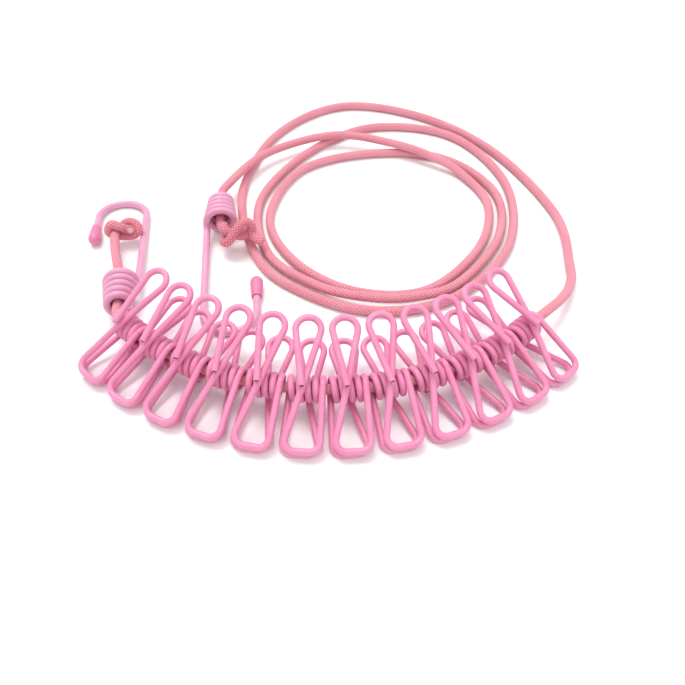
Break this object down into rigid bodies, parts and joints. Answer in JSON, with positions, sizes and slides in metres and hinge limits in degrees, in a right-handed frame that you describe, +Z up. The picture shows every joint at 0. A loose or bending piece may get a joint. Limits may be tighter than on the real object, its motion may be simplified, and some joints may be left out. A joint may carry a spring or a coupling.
{
  "type": "travel clothesline",
  "caption": "Elastic braided clothesline with coated-wire spring clips threaded on it and a coated-wire hook at each knotted end, laid with the clips in a fan and the spare cord coiled.",
  "frame": {"origin": "middle of the footprint of the clips and hooks, on the surface they lie on", "axes": "+X to the right along the row of clips; +Y to the back, from the clips toward the coiled cord; +Z up"},
  "size_m": [0.2415, 0.2706, 0.0341],
  "materials": {
    "clip_wire": "smooth glossy plastic coat over steel wire",
    "hook_wire": "smooth glossy plastic coat over steel wire",
    "cap": "soft moulded plastic with a low gloss",
    "cord": "fine braided cover over an elastic core"
  },
  "bodies": {
    "cord": {"cord": "cord", "knot_left": "cord", "knot_right": "cord"},
    "hook_left": {"hook_left": "hook_wire", "hook_left_cap": "cap"},
    "hook_right": {"hook_right": "hook_wire", "hook_right_cap": "cap"},
    "clip_01": {"clip_01_spring": "clip_wire"},
    "clip_01_rear": {"clip_01_rear": "clip_wire"},
    "clip_01_front": {"clip_01_front": "clip_wire"},
    "clip_02": {"clip_02_spring": "clip_wire"},
    "clip_02_rear": {"clip_02_rear": "clip_wire"},
    "clip_02_front": {"clip_02_front": "clip_wire"},
    "clip_03": {"clip_03_spring": "clip_wire"},
    "clip_03_rear": {"clip_03_rear": "clip_wire"},
    "clip_03_front": {"clip_03_front": "clip_wire"},
    "clip_04": {"clip_04_spring": "clip_wire"},
    "clip_04_rear": {"clip_04_rear": "clip_wire"},
    "clip_04_front": {"clip_04_front": "clip_wire"},
    "clip_05": {"clip_05_spring": "clip_wire"},
    "clip_05_rear": {"clip_05_rear": "clip_wire"},
    "clip_05_front": {"clip_05_front": "clip_wire"},
    "clip_06": {"clip_06_spring": "clip_wire"},
    "clip_06_rear": {"clip_06_rear": "clip_wire"},
    "clip_06_front": {"clip_06_front": "clip_wire"},
    "clip_07": {"clip_07_spring": "clip_wire"},
    "clip_07_rear": {"clip_07_rear": "clip_wire"},
    "clip_07_front": {"clip_07_front": "clip_wire"},
    "clip_08": {"clip_08_spring": "clip_wire"},
    "clip_08_rear": {"clip_08_rear": "clip_wire"},
    "clip_08_front": {"clip_08_front": "clip_wire"},
    "clip_09": {"clip_09_spring": "clip_wire"},
    "clip_09_rear": {"clip_09_rear": "clip_wire"},
    "clip_09_front": {"clip_09_front": "clip_wire"},
    "clip_10": {"clip_10_spring": "clip_wire"},
    "clip_10_rear": {"clip_10_rear": "clip_wire"},
    "clip_10_front": {"clip_10_front": "clip_wire"},
    "clip_11": {"clip_11_spring": "clip_wire"},
    "clip_11_rear": {"clip_11_rear": "clip_wire"},
    "clip_11_front": {"clip_11_front": "clip_wire"},
    "clip_12": {"clip_12_spring": "clip_wire"},
    "clip_12_rear": {"clip_12_rear": "clip_wire"},
    "clip_12_front": {"clip_12_front": "clip_wire"}
  },
  "joints": [
    {"name": "hook_left_swing", "type": "hinge", "parent": "cord", "child": "hook_left", "pos_m": [-0.0885, 0.0116, 0.0088], "axis": [-0.1044, 0.9932, -0.0523], "range_deg": [0, 40]},
    {"name": "hook_right_swing", "type": "hinge", "parent": "cord", "child": "hook_right", "pos_m": [-0.0475, 0.057, 0.0088], "axis": [0.0784, -0.9956, -0.0523], "range_deg": [0, 40]},
    {"name": "clip_01_slide", "type": "slide", "parent": "cord", "child": "clip_01", "axis": [0.7193, -0.6947, 0], "range_m": [-0.0018, 0.00025]},
    {"name": "clip_01_turn", "type": "hinge", "parent": "clip_01", "child": "clip_01_rear", "pos_m": [-0.07606, -0.02422, 0.01257], "axis": [0.7193, -0.6947, 0], "range_deg": [-12, 0], "deforming": ["clip_01_spring"]},
    {"name": "clip_01_squeeze", "type": "hinge", "parent": "clip_01_rear", "child": "clip_01_front", "pos_m": [-0.07606, -0.02422, 0.01257], "axis": [-0.7193, 0.6947, 0], "range_deg": [0, 26], "stiffness_Nm_per_rad": 0.2, "springref_deg": -17.19, "deforming": ["clip_01_spring"]},
    {"name": "clip_02_slide", "type": "slide", "parent": "cord", "child": "clip_02", "axis": [0.809, -0.5878, 0], "range_m": [-0.00025, 0.00025]},
    {"name": "clip_02_turn", "type": "hinge", "parent": "clip_02", "child": "clip_02_rear", "pos_m": [-0.06323, -0.03498, 0.01257], "axis": [0.809, -0.5878, 0], "range_deg": [-12, 0], "deforming": ["clip_02_spring"]},
    {"name": "clip_02_squeeze", "type": "hinge", "parent": "clip_02_rear", "child": "clip_02_front", "pos_m": [-0.06323, -0.03498, 0.01257], "axis": [-0.809, 0.5878, 0], "range_deg": [0, 26], "stiffness_Nm_per_rad": 0.2, "springref_deg": -17.19, "deforming": ["clip_02_spring"]},
    {"name": "clip_03_slide", "type": "slide", "parent": "cord", "child": "clip_03", "axis": [0.8829, -0.4695, 0], "range_m": [-0.00025, 0.00025]},
    {"name": "clip_03_turn", "type": "hinge", "parent": "clip_03", "child": "clip_03_rear", "pos_m": [-0.04904, -0.04385, 0.01257], "axis": [0.8829, -0.4695, 0], "range_deg": [-12, 0], "deforming": ["clip_03_spring"]},
    {"name": "clip_03_squeeze", "type": "hinge", "parent": "clip_03_rear", "child": "clip_03_front", "pos_m": [-0.04904, -0.04385, 0.01257], "axis": [-0.8829, 0.4695, 0], "range_deg": [0, 26], "stiffness_Nm_per_rad": 0.2, "springref_deg": -17.19, "deforming": ["clip_03_spring"]},
    {"name": "clip_04_slide", "type": "slide", "parent": "cord", "child": "clip_04", "axis": [0.9397, -0.342, 0], "range_m": [-0.00025, 0.00025]},
    {"name": "clip_04_turn", "type": "hinge", "parent": "clip_04", "child": "clip_04_rear", "pos_m": [-0.03374, -0.05066, 0.01257], "axis": [0.9397, -0.342, 0], "range_deg": [-12, 0], "deforming": ["clip_04_spring"]},
    {"name": "clip_04_squeeze", "type": "hinge", "parent": "clip_04_rear", "child": "clip_04_front", "pos_m": [-0.03374, -0.05066, 0.01257], "axis": [-0.9397, 0.342, 0], "range_deg": [0, 26], "stiffness_Nm_per_rad": 0.2, "springref_deg": -17.19, "deforming": ["clip_04_spring"]},
    {"name": "clip_05_slide", "type": "slide", "parent": "cord", "child": "clip_05", "axis": [0.9781, -0.2079, 0], "range_m": [-0.00025, 0.00025]},
    {"name": "clip_05_turn", "type": "hinge", "parent": "clip_05", "child": "clip_05_rear", "pos_m": [-0.01765, -0.05528, 0.01257], "axis": [0.9781, -0.2079, 0], "range_deg": [-12, 0], "deforming": ["clip_05_spring"]},
    {"name": "clip_05_squeeze", "type": "hinge", "parent": "clip_05_rear", "child": "clip_05_front", "pos_m": [-0.01765, -0.05528, 0.01257], "axis": [-0.9781, 0.2079, 0], "range_deg": [0, 26], "stiffness_Nm_per_rad": 0.2, "springref_deg": -17.19, "deforming": ["clip_05_spring"]},
    {"name": "clip_06_slide", "type": "slide", "parent": "cord", "child": "clip_06", "axis": [0.9976, -0.0698, 0], "range_m": [-0.00025, 0.00025]},
    {"name": "clip_06_turn", "type": "hinge", "parent": "clip_06", "child": "clip_06_rear", "pos_m": [-0.00107, -0.05761, 0.01257], "axis": [0.9976, -0.0698, 0], "range_deg": [-12, 0], "deforming": ["clip_06_spring"]},
    {"name": "clip_06_squeeze", "type": "hinge", "parent": "clip_06_rear", "child": "clip_06_front", "pos_m": [-0.00107, -0.05761, 0.01257], "axis": [-0.9976, 0.0698, 0], "range_deg": [0, 26], "stiffness_Nm_per_rad": 0.2, "springref_deg": -17.19, "deforming": ["clip_06_spring"]},
    {"name": "clip_07_slide", "type": "slide", "parent": "cord", "child": "clip_07", "axis": [0.9976, 0.0698, 0], "range_m": [-0.00025, 0.00025]},
    {"name": "clip_07_turn", "type": "hinge", "parent": "clip_07", "child": "clip_07_rear", "pos_m": [0.01567, -0.05761, 0.01257], "axis": [0.9976, 0.0698, 0], "range_deg": [-12, 0], "deforming": ["clip_07_spring"]},
    {"name": "clip_07_squeeze", "type": "hinge", "parent": "clip_07_rear", "child": "clip_07_front", "pos_m": [0.01567, -0.05761, 0.01257], "axis": [-0.9976, -0.0698, 0], "range_deg": [0, 26], "stiffness_Nm_per_rad": 0.2, "springref_deg": -17.19, "deforming": ["clip_07_spring"]},
    {"name": "clip_08_slide", "type": "slide", "parent": "cord", "child": "clip_08", "axis": [0.9781, 0.2079, 0], "range_m": [-0.00025, 0.00025]},
    {"name": "clip_08_turn", "type": "hinge", "parent": "clip_08", "child": "clip_08_rear", "pos_m": [0.03225, -0.05528, 0.01257], "axis": [0.9781, 0.2079, 0], "range_deg": [-12, 0], "deforming": ["clip_08_spring"]},
    {"name": "clip_08_squeeze", "type": "hinge", "parent": "clip_08_rear", "child": "clip_08_front", "pos_m": [0.03225, -0.05528, 0.01257], "axis": [-0.9781, -0.2079, 0], "range_deg": [0, 26], "stiffness_Nm_per_rad": 0.2, "springref_deg": -17.19, "deforming": ["clip_08_spring"]},
    {"name": "clip_09_slide", "type": "slide", "parent": "cord", "child": "clip_09", "axis": [0.9397, 0.342, 0], "range_m": [-0.00025, 0.00025]},
    {"name": "clip_09_turn", "type": "hinge", "parent": "clip_09", "child": "clip_09_rear", "pos_m": [0.04834, -0.05066, 0.01257], "axis": [0.9397, 0.342, 0], "range_deg": [-12, 0], "deforming": ["clip_09_spring"]},
    {"name": "clip_09_squeeze", "type": "hinge", "parent": "clip_09_rear", "child": "clip_09_front", "pos_m": [0.04834, -0.05066, 0.01257], "axis": [-0.9397, -0.342, 0], "range_deg": [0, 26], "stiffness_Nm_per_rad": 0.2, "springref_deg": -17.19, "deforming": ["clip_09_spring"]},
    {"name": "clip_10_slide", "type": "slide", "parent": "cord", "child": "clip_10", "axis": [0.8829, 0.4695, 0], "range_m": [-0.00025, 0.00025]},
    {"name": "clip_10_turn", "type": "hinge", "parent": "clip_10", "child": "clip_10_rear", "pos_m": [0.06364, -0.04385, 0.01257], "axis": [0.8829, 0.4695, 0], "range_deg": [-12, 0], "deforming": ["clip_10_spring"]},
    {"name": "clip_10_squeeze", "type": "hinge", "parent": "clip_10_rear", "child": "clip_10_front", "pos_m": [0.06364, -0.04385, 0.01257], "axis": [-0.8829, -0.4695, 0], "range_deg": [0, 26], "stiffness_Nm_per_rad": 0.2, "springref_deg": -17.19, "deforming": ["clip_10_spring"]},
    {"name": "clip_11_slide", "type": "slide", "parent": "cord", "child": "clip_11", "axis": [0.809, 0.5878, 0], "range_m": [-0.00025, 0.00025]},
    {"name": "clip_11_turn", "type": "hinge", "parent": "clip_11", "child": "clip_11_rear", "pos_m": [0.07783, -0.03498, 0.01257], "axis": [0.809, 0.5878, 0], "range_deg": [-12, 0], "deforming": ["clip_11_spring"]},
    {"name": "clip_11_squeeze", "type": "hinge", "parent": "clip_11_rear", "child": "clip_11_front", "pos_m": [0.07783, -0.03498, 0.01257], "axis": [-0.809, -0.5878, 0], "range_deg": [0, 26], "stiffness_Nm_per_rad": 0.2, "springref_deg": -17.19, "deforming": ["clip_11_spring"]},
    {"name": "clip_12_slide", "type": "slide", "parent": "cord", "child": "clip_12", "axis": [0.7193, 0.6947, 0], "range_m": [-0.00025, 0.004]},
    {"name": "clip_12_turn", "type": "hinge", "parent": "clip_12", "child": "clip_12_rear", "pos_m": [0.09066, -0.02422, 0.01257], "axis": [0.7193, 0.6947, 0], "range_deg": [-12, 0], "deforming": ["clip_12_spring"]},
    {"name": "clip_12_squeeze", "type": "hinge", "parent": "clip_12_rear", "child": "clip_12_front", "pos_m": [0.09066, -0.02422, 0.01257], "axis": [-0.7193, -0.6947, 0], "range_deg": [0, 26], "stiffness_Nm_per_rad": 0.2, "springref_deg": -17.19, "deforming": ["clip_12_spring"]}
  ]
}
